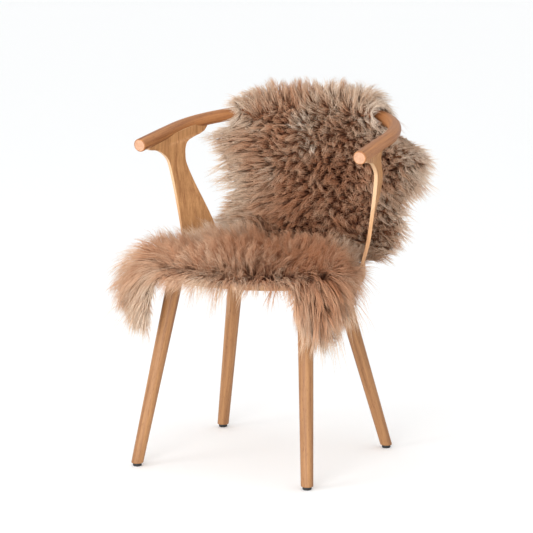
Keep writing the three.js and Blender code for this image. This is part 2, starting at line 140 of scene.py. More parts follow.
def make_studio():
    half = FLOOR_SIZE / 2
    corners = [(-half, -half, 0), (half, -half, 0), (half, half, 0), (-half, half, 0)]
    floor = mesh_object("floor", corners, [(0, 1, 2, 3)])
    paint, _, shader = material("floor_paint")
    shader.inputs["Base Color"].default_value = (*FLOOR_WHITE, 1.0)
    shader.inputs["Roughness"].default_value = FLOOR_ROUGHNESS
    floor.data.materials.append(paint)
    world = bpy.data.worlds.new("sky")
    world.use_nodes = True
    sky = world.node_tree.nodes["Background"].inputs
    sky["Color"].default_value = (1.0, 1.0, 1.0, 1.0)
    sky["Strength"].default_value = SKY_STRENGTH
    bpy.context.scene.world = world
    for lamp in LAMPS:
        data = bpy.data.lights.new(lamp["name"], "AREA")
        data.shape = "DISK"
        data.size = lamp["size"]
        data.energy = lamp["power"]
        made = stand(lamp["name"], data)
        made.location = Vector(lamp["place"]) + CHAIR
        aim = CHAIR + LAMP_AIM - made.location
        made.rotation_euler = aim.to_track_quat("-Z", "Y").to_euler()
    return floor


floor = make_studio()
print(floor.name, FLOOR_SIZE, "m wide, lamps", [lamp["name"] for lamp in LAMPS])

# %% [markdown]
# The hide is worked out flat first, as it lies on a tanner's board. "Across" is measured
# from its middle line to the right and "along" from the seat's front edge: back over the
# seat, up the back, over the rail and down behind. One function then lays any flat point on
# the chair. The same outline made the solid, so the two lie in the same place.

# %% How the hide lies
MM = 0.001
SEAT_TOP = 433.0
SEAT_HALF_WIDTH, SEAT_HALF_DEPTH, SEAT_SQUARENESS = 232.0, 215.0, 2.15
HIDE_START_Y = -215.0
HIDE_LIFT, EDGE_LIFT, EDGE_NEAR = 0.4, 3.1, (0.55, 0.82)
EDGE_RUN, EDGE_BEND, EDGE_HANG = 14.0, 28.0, math.radians(86)
EDGE_FADE = (275.0, 395.0)
RAIL_SLOPE = 0.14
HIDE_PATH = [  # stretch, its length, its turn
    ("seat", 372.0, 0.0),
    ("crook", 78.0, math.radians(75)),
    ("back", 300.0, 0.0),
    ("over the rail", 82.0, math.radians(-167)),
    ("behind", 200.0, 0.0),
]
BOW_ALONG = [380.0, 470.0, 620.0, 700.0, 750.0, 791.0, 832.0, 1030.0]
BOW_CURVE = [0.0, 1 / 900, 1 / 680, 1 / 560, 1 / 237, 1 / 267, 1 / 295, 1 / 330]


def smoothstep(value, low, high):
    share = np.clip((value - low) / (high - low), 0.0, 1.0)
    return share * share * (3.0 - 2.0 * share)


def hide_path(along):
    y = np.full(along.shape, HIDE_START_Y)
    z = np.full(along.shape, SEAT_TOP + HIDE_LIFT)
    heading = np.zeros(along.shape)
    left = along.astype(float)
    for i, (_, length, turn) in enumerate(HIDE_PATH):
        run = left if i == len(HIDE_PATH) - 1 else np.minimum(left, length)
        run = run if i == 0 else np.maximum(run, 0.0)
        angle = turn * run / length
        if turn:
            radius = length / turn
            y = y + radius * (np.sin(heading + angle) - np.sin(heading))
            z = z + radius * (np.cos(heading) - np.cos(heading + angle))
        else:
            y = y + run * np.cos(heading)
            z = z + run * np.sin(heading)
        heading = heading + angle
        left = left - run
    return y, z


def seat_reach(x, y):
    """How far the seat's edge lies from its middle, in the direction of a point."""
    far = np.maximum(np.hypot(x, y), 1e-6)
    c, s = np.abs(x) / far, np.abs(y) / far
    power = SEAT_SQUARENESS
    return ((c / SEAT_HALF_WIDTH) ** power + (s / SEAT_HALF_DEPTH) ** power) ** (-1 / power)


def drape(across, along):
    """Flat places on the hide, in millimetres, to points on the chair, in millimetres."""
    y, z = hide_path(along)
    curve = np.interp(along, BOW_ALONG, BOW_CURVE)
    safe = np.maximum(curve, 1e-9)
    bowed = curve > 1e-8
    x = np.where(bowed, np.sin(across * safe) / safe, across)
    forward = np.where(bowed, (1 - np.cos(across * safe)) / safe, 0.0)
    point = np.stack([x, y - forward, z - forward * RAIL_SLOPE], axis=-1)
    fade = 1 - smoothstep(along, *EDGE_FADE)
    edge = seat_reach(point[..., 0], point[..., 1])
    reach = np.maximum(np.hypot(point[..., 0], point[..., 1]), 1e-6)
    point[..., 2] += EDGE_LIFT * smoothstep(reach / edge, *EDGE_NEAR)
    beyond = np.maximum(reach - edge - EDGE_RUN, 0.0)
    bent = np.minimum(beyond / EDGE_BEND, EDGE_HANG)
    rest = beyond - bent * EDGE_BEND
    out = EDGE_BEND * np.sin(bent) + rest * np.cos(bent)
    drop = EDGE_BEND * (1 - np.cos(bent)) + rest * np.sin(bent)
    hung = point.copy()
    hung[..., :2] *= ((edge + EDGE_RUN + out) / reach)[..., None]
    hung[..., 2] -= drop
    weight = np.where(beyond > 0, fade, 0.0)[..., None]
    return point * (1 - weight) + hung * weight


def surface_axes(across, along):
    """Unit directions of across, along and the wool side, at flat places."""
    step = 2.0
    right = drape(across + step, along) - drape(across - step, along)
    onward = drape(across, along + step) - drape(across, along - step)
    up = np.cross(right, onward)
    lengths = [np.linalg.norm(v, axis=-1, keepdims=True) for v in (right, onward, up)]
    return [v / np.maximum(far, 1e-9) for v, far in zip((right, onward, up), lengths)]


def to_scene(points):
    return points * MM + np.array(CHAIR)


probe = drape(np.array([0.0, 0.0]), np.array([0.0, 791.0]))
print("front edge and top of the rail, mm:", probe.round(1).tolist())

# %% [markdown]
# The outline has four leg lobes, a rump and a neck. Two lobes hang over the seat's front
# corners, and two go through the gaps under the rail. Each row of the table is one place on
# the rim, left and right: where it is, how far the wool reaches past it, and how thick the
# wool is there.

# %% Outline of the hide
RIM = [  # name, from, left (across, along, wool, thick), right (across, along, wool, thick)
    ("rump", 120, (0, -16, 32, 1.0), (0, -16, 32, 1.0)),
    ("rump side", 132, (-84, -4, 32, 1.0), (84, 6, 30, 1.0)),
    ("flap root", 144, (-142, -2, 4, 1.0), (166, 16, 4, 1.0)),
    ("flap side", 156, (-210, -50, 4, 0.7), (232, -24, 8, 0.9)),
    ("flap tip", 172, (-248, -50, 30, 1.1), (298, -4, 36, 1.0)),
    ("flap back", 190, (-290, 30, 34, 1.4), (298, 66, 28, 1.0)),
    ("flank", 212, (-300, 136, 36, 1.5), (254, 140, 24, 1.0)),
    ("before post", 236, (-240, 204, 20, 1.45), (234, 204, 16, 1.0)),
    ("post", 290, (-186, 290, 7, 1.3), (186, 290, 7, 1.1)),
    ("post back", 345, (-160, 362, 8, 1.35), (160, 362, 7, 1.1)),
    ("behind post", 400, (-206, 414, 28, 1.35), (206, 406, 28, 1.0)),
    ("hip", 460, (-204, 478, 28, 1.15), (254, 478, 30, 1.0)),
    ("waist", 540, (-186, 552, 24, 1.0), (256, 545, 26, 1.0)),
    ("shoulder", 600, (-216, 618, 26, 1.0), (306, 600, 32, 1.0)),
    ("leg lobe", 650, (-240, 682, 24, 0.9), (330, 664, 38, 1.0)),
    ("under rail", 700, (-214, 710, 9, 0.4), (272, 694, 12, 0.4)),
    ("notch", 735, (-195, 744, 4, 0.45), (176, 738, 5, 0.45)),
    ("over rail", 775, (-216, 786, 18, 0.7), (172, 784, 14, 0.8)),
    ("neck", 820, (-196, 850, 26, 0.8), (172, 850, 24, 0.9)),
    ("neck side", 838, (-130, 925, 28, 1.0), (124, 925, 28, 1.0)),
    ("neck end", 852, (0, 950, 30, 1.0), (0, 950, 30, 1.0)),
]
STATIONS = 150


def smooth_rows(rows, places):
    """A smooth curve through rows of numbers, at row numbers that may fall between rows."""
    rows = np.array(rows, float)
    i = np.clip(np.floor(places).astype(int), 0, len(rows) - 2)
    t = (places - i)[:, None]
    a, b, c, d = (rows[np.clip(i + k, 0, len(rows) - 1)] for k in (-1, 0, 1, 2))
    square, cube = 2 * a - 5 * b + 4 * c - d, 3 * b - a - 3 * c + d
    return 0.5 * (2 * b + (c - a) * t + square * t**2 + cube * t**3)


def make_rim():
    places = np.linspace(0, len(RIM) - 1, STATIONS + 1)
    middle = np.interp(places, np.arange(len(RIM)), [row[1] for row in RIM])
    left, right = (smooth_rows([row[k] for row in RIM], places) for k in (2, 3))
    # Round the rim once: up the right side and back down the left
    ring = np.concatenate([right, left[-2:0:-1]])
    start = np.concatenate([middle, middle[-2:0:-1]])
    return ring[:, :2], ring[:, 2], ring[:, 3], start


rim, rim_wool, rim_thick, rim_start = make_rim()
next_x, next_y = np.roll(rim, -1, axis=0).T
FLAT_AREA = 0.5 * abs(np.sum(rim[:, 0] * next_y - next_x * rim[:, 1]))
print("area, m2:", round(FLAT_AREA * MM * MM, 3))

# %% [markdown]
# Tanned sheepskin is about 2 mm thick, matt and pale on its flesh side, with faint creases.
# The sheet is made as rings that shrink from the rim to the middle line, once for the wool
# side and once for the flesh side, and joined at the rim, so that it is one closed skin.

# %% The leather sheet
HIDE_THICK = 2.0
HIDE_RINGS = 34
HIDE_TRIM = 0.982  # the cut edge lies a little inside the outline, under the wool
WRINKLE = 0.5


def wrinkles(across, along):
    return WRINKLE * np.sin(across / 17 + 2 * np.sin(along / 43)) * np.sin(along / 29 + 0.7)


def make_hide():
    count = len(rim)
    shares = np.linspace(HIDE_TRIM, 0, HIDE_RINGS)
    vertices, faces, numbers = [], [], []
    for side, height in (("wool", HIDE_THICK), ("flesh", 0.0)):
        for share in shares:
            across = rim[:, 0] * share
            along = rim_start + (rim[:, 1] - rim_start) * share
            up = surface_axes(across, along)[2]
            level = height + wrinkles(across, along) * (side == "wool")
            points = drape(across, along) + up * np.atleast_1d(level)[:, None]
            row = len(vertices) + np.arange(count)
            if share == 0:
                # The last ring is a line, whose two sides share their points
                step = np.arange(count)
                row = len(vertices) + np.where(step > STATIONS, count - step, step)
                points = points[: STATIONS + 1]
            vertices.extend(to_scene(points))
            numbers.append((side, row))
    wool_rows = [row for side, row in numbers if side == "wool"]
    flesh_rows = [row for side, row in numbers if side == "flesh"]
    order = flesh_rows[::-1] + wool_rows
    for low, high in zip(order, order[1:]):
        if low is wool_rows[0]:
            flesh_faces = len(faces)
        for i in range(count):
            j = (i + 1) % count
            ring = [low[i], low[j], high[j], high[i]]
            face = [v for k, v in enumerate(ring) if v != ring[k - 1]]
            if len(set(face)) >= 3:
                faces.append(face)
    made = mesh_object("hide", vertices, faces)
    made.data.polygons.foreach_set("use_smooth", [True] * len(faces))
    made.data.polygons.foreach_set("material_index", [int(k >= flesh_faces) for k in range(len(faces))])
    return made


def turn_outward(obj):
    """Turns the faces of a closed mesh so that they point out."""
    mesh = obj.data
    mesh.calc_loop_triangles()
    co = np.array([v.co for v in mesh.vertices])
    tri = np.array([t.vertices for t in mesh.loop_triangles])
    volume = np.sum(np.cross(co[tri[:, 0]], co[tri[:, 1]]) * co[tri[:, 2]])
    if volume < 0:
        mesh.flip_normals()
    return abs(volume) / 6


hide = make_hide()
print("hide volume, litres:", round(turn_outward(hide) * 1000, 3), "faces", len(hide.data.polygons))

# %% [markdown]
# The lie of the wool is what makes a fleece look like one. It stands up in the middle of the
# hide and lies down towards the rim, it falls where the hide hangs, and it comes in locks:
# hairs that start apart and end in one tip. Each hair here is a small spike with a root, a
# first direction, a bend, a width and a tone, worked out for all at once with arrays.

# %% Where the hairs grow
HAIRS = 51000
RIM_HAIRS = 4600
LOCK_SPACING = 11.5
LOCK_JITTER = 1.1
RIM_INSET = 0.008
SEED = 4
AT_ONCE = 2000  # points whose distances are worked out at a time
rng = np.random.default_rng(SEED)


def inside(points, polygon):
    crossings = np.zeros(len(points), bool)
    for (x0, y0), (x1, y1) in zip(polygon, np.roll(polygon, -1, axis=0)):
        if y0 == y1:
            continue
        spans = (points[:, 1] > min(y0, y1)) & (points[:, 1] <= max(y0, y1))
        x = x0 + (points[:, 1] - y0) * (x1 - x0) / (y1 - y0)
        crossings ^= spans & (points[:, 0] < x)
    return crossings


def scatter(spacing):
    low, high = rim.min(0), rim.max(0)
    columns = np.arange(low[0], high[0], spacing)
    rows = np.arange(low[1], high[1], spacing)
    grid = np.stack(np.meshgrid(columns, rows), -1).reshape(-1, 2)
    grid = grid + rng.uniform(-0.5, 0.5, grid.shape) * spacing * LOCK_JITTER
    return grid[inside(grid, rim)]


def nearest(points, targets):
    """Distance from each point to the nearest target, and that target's number."""
    near = np.empty(len(points), int)
    far = np.empty(len(points))
    for start in range(0, len(points), AT_ONCE):
        part = slice(start, start + AT_ONCE)
        square = ((points[part, None, :] - targets[None]) ** 2).sum(-1)
        near[part] = square.argmin(1)
        far[part] = np.sqrt(square.min(1))
    return far, near


def rim_roots():
    number = rng.integers(0, len(rim), RIM_HAIRS)
    step = rng.uniform(0, 1, (RIM_HAIRS, 1))
    on_rim = rim[number] * (1 - step) + np.roll(rim, -1, axis=0)[number] * step
    middle = np.stack([np.zeros(RIM_HAIRS), rim_start[number]], 1)
    return on_rim + (middle - on_rim) * RIM_INSET


roots = np.concatenate([scatter(math.sqrt(FLAT_AREA / HAIRS)), rim_roots()])
is_rim = np.arange(len(roots)) >= len(roots) - RIM_HAIRS
locks = scatter(LOCK_SPACING)
root_gap, root_rim = nearest(roots, rim)
lock_gap, lock_rim = nearest(locks, rim)
lock_of_root = nearest(roots, locks)[1]
print(len(roots), "hairs in", len(locks), "locks")

# %% [markdown]
# Tone says how pale a lock is. Pale locks grow round the rim, and a few tufts stand out on
# the back and the seat, where darker underwool shows between them. The places are given on
# the flat hide, as a tanner would mark them. One patch at the front of the seat is not a tone
# of the wool: it is painted light, making the locks paler where the seat's front lies in shade.

# %% Tone of each lock
BASE_TONE = 0.32
RIM_TONE, RIM_TONE_DEPTH, RIM_TONE_FALL = 0.42, 74.0, 1.8
TONE_SPREAD = 0.068
TONE_WAVES = [(0.06, 26.0, 1.2), (0.05, 11.0, 3.0)]  # how strong, size, turn
PATCHES = [  # name, across, along, radius, how much paler (or darker, if under 0)
    ("middle tuft", -12, 655, 22, 0.55),
    ("upper tuft", -28, 705, 24, 0.46),
    ("left tuft", -90, 590, 30, 0.26),
    ("low tuft", 60, 520, 30, 0.08),
    ("top", 10, 800, 120, 0.36),
    ("top right", 140, 790, 60, 0.04),
    ("right lobe", 310, 660, 70, 0.10),
    ("dark back", 60, 620, 90, -0.04),
    ("dark low back", 0, 500, 100, -0.04),
    ("dark upper left", -90, 720, 50, -0.12),
    ("seat tuft", -120, 205, 24, 0.28),
    ("seat streak", 120, 330, 34, 0.26),
    ("crook right", 170, 390, 60, -0.12),
    ("crook left", -150, 400, 50, -0.06),
    ("rump", 0, 0, 90, -0.26),
    ("rump left", -120, 10, 60, -0.22),
    ("rump right", 110, 10, 60, -0.22),
    ("dark front right", 200, 70, 80, -0.20),
    ("seat middle", 30, 210, 150, -0.14),
    ("seat right", 190, 190, 80, -0.24),
    # painted light: paler locks at the seat's front, making up for the shade among the front locks
    ("front centre painted light", 0, 50, 90, 0.18),
    ("flap right", 260, 40, 70, -0.08),
]


def waves(points, size, turn):
    x, y = points[:, 0] / size, points[:, 1] / size
    first = np.sin(x * 1.0 + 1.7 * np.sin(y * 0.8 + turn) + turn)
    second = np.cos(y * 1.1 + 1.5 * np.sin(x * 0.9 - turn) + 2 * turn)
    return 0.5 * (first + second)


def spot(points, across, along, radius):
    """1 in the middle of a round place on the hide, fading to 0 outside it."""
    return np.exp(-((points[:, 0] - across) ** 2 + (points[:, 1] - along) ** 2) / radius**2)


def lock_tone(points, gap):
    tone = BASE_TONE + RIM_TONE * np.exp(-((gap / RIM_TONE_DEPTH) ** RIM_TONE_FALL))
    tone += sum(strong * waves(points, size, turn) for strong, size, turn in TONE_WAVES)
    for _, across, along, radius, paler in PATCHES:
        tone += paler * spot(points, across, along, radius)
    return tone + rng.normal(0, TONE_SPREAD, len(points))


tone_of_lock = lock_tone(locks, lock_gap)
print("tone from", tone_of_lock.min().round(2), "to", tone_of_lock.max().round(2))

# %% [markdown]
# On a real fleece the locks lie the way the sheep's coat grew: out from the spine, and flat
# where they hang over an edge. On this one they also part at the crook and flow over the rail.
# Each lock gets a lean, which is where its tip lies as seen on the flat hide, as a sum of a few
# broad flows, some drifts in one place and a swirl that breaks the rows.

# %% Lie of each lock
RIM_LEAN, RIM_LEAN_DEPTH = 46.0, 64.0
SIDE_WIDTH = 120.0
FAN = 0.62  # how far the wool fans out from the middle line, and not straight to the rim
FLOWS = [  # name, from along, fade, to along, fade, sideways, onward
    ("seat", -300, 10, 330, 60, 34.0, -14.0),
    ("back", 450, 60, 650, 90, 30.0, -15.0),
    ("top", 640, 190, 1100, 10, 16.0, 24.0),
    ("front", -300, 10, 60, 110, 0.0, -26.0),
]
SWIRLS = [(21.0, 8.0, 0.4), (52.0, 17.0, 2.6)]  # size, how strong, turn
DRIFTS = [  # name, across, along, radius, sideways, onward
    ("left tail", -250, -30, 70, 24.0, -16.0),
    ("right lobe", 310, 660, 60, 14.0, 5.0),
    ("neck right", 160, 800, 50, 14.0, 4.0),
]
CROSS_SIZE, CROSS_TURN = 0.87, 1.7  # a swirl's onward part against its sideways part
RIM_LEAN_FALL = 1.5
FLOW_LOST = 0.6  # how much of a flow the rim takes away
LEAN_SHARES = (0.5, 1.1)
SEAT_FADE = (300, 420)
LOCK_SPREAD, SPREAD_ON_SEAT = 6.5, 0.9
SPREAD_LOST, SPREAD_DEPTH = 0.55, 40.0
UNEVEN, UNEVEN_ON_SEAT = 0.12, 0.1
LOCK_LENGTHS = (0.55, 1.25)


def unit(vectors):
    return vectors / np.maximum(np.linalg.norm(vectors, axis=-1, keepdims=True), 1e-6)


def lock_lean(points, gap, number):
    """Which way the tips lie from their roots, in millimetres on the flat hide."""
    middle = np.stack([np.zeros(len(points)), rim_start[number]], 1)
    out = FAN * unit(points - middle) + (1 - FAN) * unit(rim[number] - points)
    out = unit(out)
    share = np.exp(-((gap / RIM_LEAN_DEPTH) ** RIM_LEAN_FALL))
    lean = out * (RIM_LEAN * share)[:, None]
    side = np.clip(points[:, 0] / SIDE_WIDTH, -1, 1)
    for _, start, start_fade, stop, stop_fade, sideways, onward in FLOWS:
        here = smoothstep(points[:, 1], start, start + start_fade)
        here = here * (1 - smoothstep(points[:, 1], stop, stop + stop_fade))
        here = here * (1 - FLOW_LOST * share)
        lean[:, 0] += sideways * side * here
        lean[:, 1] += onward * here
    for _, across, along, radius, sideways, onward in DRIFTS:
        lean += spot(points, across, along, radius)[:, None] * np.array([sideways, onward])
    for size, swing, turn in SWIRLS:
        lean[:, 0] += swing * waves(points, size, turn) * (1 - share)
        lean[:, 1] += swing * waves(points, size * CROSS_SIZE, turn + CROSS_TURN) * (1 - share)
    return lean


lean_of_lock = lock_lean(locks, lock_gap, lock_rim)
lean_of_lock *= rng.uniform(*LEAN_SHARES, (len(locks), 1))
seat_share = 1 - smoothstep(locks[:, 1], *SEAT_FADE)
unruly = LOCK_SPREAD * (1 + SPREAD_ON_SEAT * seat_share)
unruly = unruly * (1 - SPREAD_LOST * np.exp(-lock_gap / SPREAD_DEPTH))
lean_of_lock += rng.normal(0, 1, locks.shape) * unruly[:, None]
uneven = UNEVEN + UNEVEN_ON_SEAT * seat_share
length_of_lock = np.clip(1 + rng.normal(0, 1, len(locks)) * uneven, *LOCK_LENGTHS)
print("mean lean, mm:", round(float(np.linalg.norm(lean_of_lock, axis=1).mean()), 1))

# %% [markdown]
# The pile of a long-wool fleece stands 4 to 6 cm high. It is lumpy, pressed where the hide
# bends, and thins out towards the rim. These heights are those of the solid fleece, so that
# the wool fills it, with a few places where the photograph shows more or less.

# %% Height of the pile
SEAT_PILE, BACK_PILE, PILE_CHANGE, PILE_LUMP = 58.0, 46.0, (350, 450), 0.12
CROOK_ALONG, CROOK_REACH, CROOK_PRESS = 412.0, 50.0, 0.15


def pile_height(points):
    x, y = points[:, 0], points[:, 1]
    fine = np.sin(x / 21 + 1.4 * np.sin(y / 37)) * np.cos(y / 26 + np.sin(x / 45))
    broad = np.sin(x / 58 + 2.1) * np.sin(y / 71 + 0.6)
    crook = np.exp(-(((y - CROOK_ALONG) / CROOK_REACH) ** 2))
    pile = SEAT_PILE + (BACK_PILE - SEAT_PILE) * smoothstep(y, *PILE_CHANGE)
    return pile * (1 + PILE_LUMP * (fine + broad)) * (1 - CROOK_PRESS * crook)


LIFTS = [  # name, across, along, radius, how much higher (or lower, if under 0)
    ("left flank", -270, 80, 70, 0.16),
    ("top right", 100, 790, 70, -0.14),
    ("top left", -130, 790, 50, -0.08),
    ("before crook left", -195, 260, 80, 0.30),
    ("crook left", -165, 350, 60, 0.42),
    ("crook right", 170, 330, 60, 0.12),
]


def lift(points):
    high = np.ones(len(points))
    for _, across, along, radius, share in LIFTS:
        high += share * spot(points, across, along, radius)
    return high


# Height of the wool by the distance from the rim, as a share of the full pile; under 0 is past it
PROFILE_GAP = [-34.0, -16.0, 0.0, 13.0, 29.0, 47.0, 68.0]
PROFILE_SHARE = [0.14, 0.46, 0.62, 0.76, 0.88, 0.95, 1.0]

print("pile on seat and back, mm:", pile_height(np.array([[0.0, 200.0], [0.0, 600.0]])).round(1))

# %% [markdown]
# Wool is crimped, and the hairs of one lock share their crimp and close in on one tip. Here the
# tip of each hair is worked out on the flat hide and then raised by the height of the pile
# there, so the wool keeps the thickness of its solid. It gets thinner towards the rim, loose
# ends fall a little, and a hair that would run into the wood of the chair ends before it.

# %% Each hair of each lock
GATHER = (0.3, 0.85)  # how far the hairs of a lock come together, from the loosest to the tightest
GATHER_LOST, GATHER_DEPTH = 0.75, 34.0  # less of that at the rim, and how far in this goes
HAIR_WIDTH = (0.45, 0.92)
RIM_REACH = 0.9
SHORT_WOOL = 16.0
BOX_ROOM = 18.0  # no tip lies further than this outside the box of the solids
TALLEST = 84.0
LEAST_REACH = 5.0
FALL, FALL_SHARE, FALL_AT_FRONT = 14.0, 0.35, 0.9
FRONT_ALONG, FRONT_ACROSS = (30, 110), (110, 165)
LOOSE_INSIDE, LOOSE_RUN = 14.0, 30.0  # hairs get loose from here inside the rim, over this way
SIDE_SPREAD = 0.3
TONE_ENDS = (0.02, 0.98)
STRAY = 1.9
LEAN_SPREAD = 0.14
REACHES = (0.72, 1.12)
RIM_HEIGHTS = (-0.1, 0.75)
HEIGHTS = (0.84, 1.1)
HAIR_TONE_SPREAD = 0.045
RISE, LEAD = 0.62, 0.16  # how far a hair first grows straight up, and towards its tip
CURL, CURL_LOST, CURL_DEPTH = 2.6, 1.6, 45.0
CURLS = (0.4, 1.3)
PHASE_SPREAD = 0.5
THICK_DEPTH = 90.0
ROOT_LIFT = 1.0
WOOD = ("arm_post_left", "arm_post_right", "top_rail", "seat_panel", "back_panel")
WOOD_STEPS = np.linspace(0.0, 1.0, 9)
WOOD_ROOM, SHORTEST = 0.07, 0.1  # as shares of a hair's way


def ends_at_wood(start, grow, bend):
    """How much of each hair's way is free before it meets the wood."""
    path = np.array([to_scene(start + grow * t + bend * t * t) for t in WOOD_STEPS])
    lowest, highest = path.min(0), path.max(0)
    ends = np.ones(len(start))
    for name in WOOD:
        solid = bpy.data.objects[name]
        corners = [solid.matrix_world @ vertex.co for vertex in solid.data.vertices]
        skin = BVHTree.FromPolygons(corners, [tuple(face.vertices) for face in solid.data.polygons])
        low, high = (np.array(corner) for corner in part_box(name))
        near = np.all((highest > low) & (lowest < high), axis=1)
        for i in np.nonzero(near)[0]:
            for k in range(len(WOOD_STEPS) - 1):
                here = Vector(path[k, i])
                step = Vector(path[k + 1, i]) - here
                hit = skin.ray_cast(here, step.normalized(), step.length)[0]
                if hit is not None:
                    share = (hit - here).length / step.length
                    ends[i] = min(ends[i], WOOD_STEPS[k] + share * WOOD_STEPS[1] - WOOD_ROOM)
                    break
    return np.maximum(ends, SHORTEST)


def hair_numbers():
    """Root, growth, bend and the rest of each hair, in millimetres."""
    lock = lock_of_root
    wool = np.maximum(rim_wool[root_rim], LEAST_REACH)
    lean = lean_of_lock[lock] * length_of_lock[lock][:, None]
    gather = rng.uniform(*GATHER, len(locks))[lock]
    gather = gather * (1 - GATHER_LOST * np.exp(-root_gap / GATHER_DEPTH))
    lean = lean + (locks[lock] - roots) * gather[:, None] + rng.normal(0, STRAY, roots.shape)
    out = unit(rim[root_rim] - roots)
    lean = lean * rng.normal(1.0, LEAN_SPREAD, (len(roots), 1))
    past = (lean * out).sum(1) - root_gap
    allowed = wool * RIM_REACH * rng.uniform(*REACHES, len(roots))
    over = np.maximum(past - allowed, 0.0)
    lean = lean - out * over[:, None]
    past = np.minimum(past, allowed)
    tips = roots + lean
    beyond = -past / np.maximum(wool, SHORT_WOOL) * -PROFILE_GAP[0]
    share = np.interp(beyond, PROFILE_GAP, PROFILE_SHARE)
    share = np.where(past < 0, np.interp(-past, PROFILE_GAP, PROFILE_SHARE), share)
    share = np.where(is_rim, share * rng.uniform(*RIM_HEIGHTS, len(roots)), share)
    thick = 1 + (rim_thick[root_rim] - 1) * np.clip(1 - root_gap / THICK_DEPTH, 0, 1)
    height = pile_height(tips) * lift(tips) * thick * share * length_of_lock[lock]
    height = np.minimum(height, TALLEST) * rng.uniform(*HEIGHTS, len(roots))
    up = surface_axes(roots[:, 0], roots[:, 1])[2]
    tip_up = surface_axes(tips[:, 0], tips[:, 1])[2]
    tip = drape(tips[:, 0], tips[:, 1]) + tip_up * height[:, None]
    # Loose ends fall, most of all past the rim
    loose = np.clip((past + LOOSE_INSIDE) / LOOSE_RUN, 0, 1)
    front = 1 - smoothstep(roots[:, 1], *FRONT_ALONG)
    front = front * (1 - smoothstep(np.abs(roots[:, 0]), *FRONT_ACROSS))
    tip[:, 2] -= FALL * loose * (FALL_SHARE + FALL_AT_FRONT * front)
    low, high = ((np.array(corner) - np.array(CHAIR)) / MM for corner in CAD_BOX)
    tip = np.clip(tip, low - BOX_ROOM, high + BOX_ROOM)
    start = drape(roots[:, 0], roots[:, 1]) + up * ROOT_LIFT
    control = start + up * (height * RISE)[:, None] + (tip - start) * LEAD
    grow = 2 * (control - start)
    bend = tip - start - grow
    side = unit(np.cross(tip - start, up + rng.normal(0, SIDE_SPREAD, up.shape)))
    other = unit(np.cross(tip - start, side))
    width = rng.uniform(*HAIR_WIDTH, len(roots))
    tone = tone_of_lock[lock] + rng.normal(0, HAIR_TONE_SPREAD, len(roots))
    tone = np.clip(tone, *TONE_ENDS)
    curl = CURL - CURL_LOST * np.exp(-root_gap / CURL_DEPTH)
    wave = curl * rng.uniform(*CURLS, len(roots))
    phase = rng.uniform(0, 2 * math.pi, len(locks))[lock]
    phase = phase + rng.normal(0, PHASE_SPREAD, len(roots))
    free = ends_at_wood(start, grow, bend)
    print("hairs that end at the wood:", int((free < 1).sum()))
    grow = grow * free[:, None]
    bend = bend * free[:, None] ** 2
    wave = wave * free
    return {"root": start, "grow": grow, "bend": bend, "side": side, "other": other,
            "width": width, "tone": tone, "wave": wave, "phase": phase}


hair = hair_numbers()
hair_lengths = np.linalg.norm(hair["grow"] + hair["bend"], axis=1)
print("longest hair, mm:", round(float(hair_lengths.max()), 1))

# %% [markdown]
# Geometry Nodes grow the hairs. The script hands it a cloud of roots, each with its numbers as
# attributes, and one small template spike. The tree puts the template on each root, realizes
# the copies, and then moves every vertex: along the growth, off by the bend, and out by the
# width, which tapers to the tip. It also stores a map with the tone in one direction and the
# way from root to tip in the other, so one material can paint every hair.

# %% Template spike
LEVELS = (0.0, 0.42, 0.76)
HAIR_SIDES = 3


def make_template():
    angles = [2 * math.pi * k / HAIR_SIDES for k in range(HAIR_SIDES)]
    vertices = [(math.cos(a), math.sin(a), level) for level in LEVELS for a in angles]
    vertices.append((0.0, 0.0, 1.0))
    tip = len(vertices) - 1
    faces = [tuple(range(HAIR_SIDES))[::-1]]
    for row in range(len(LEVELS) - 1):
        for k in range(HAIR_SIDES):
            low, high = row * HAIR_SIDES, (row + 1) * HAIR_SIDES
            j = (k + 1) % HAIR_SIDES
            faces.append((low + k, low + j, high + j, high + k))
    last = (len(LEVELS) - 1) * HAIR_SIDES
    faces += [(last + k, last + (k + 1) % HAIR_SIDES, tip) for k in range(HAIR_SIDES)]
    made = mesh_object("hair_template", vertices, faces)
    shape = made.data.attributes.new("shape", "FLOAT_VECTOR", "POINT")
    shape.data.foreach_set("vector", np.array(vertices).ravel())
    return made


template = make_template()
print("template spike:", len(template.data.vertices), "points")

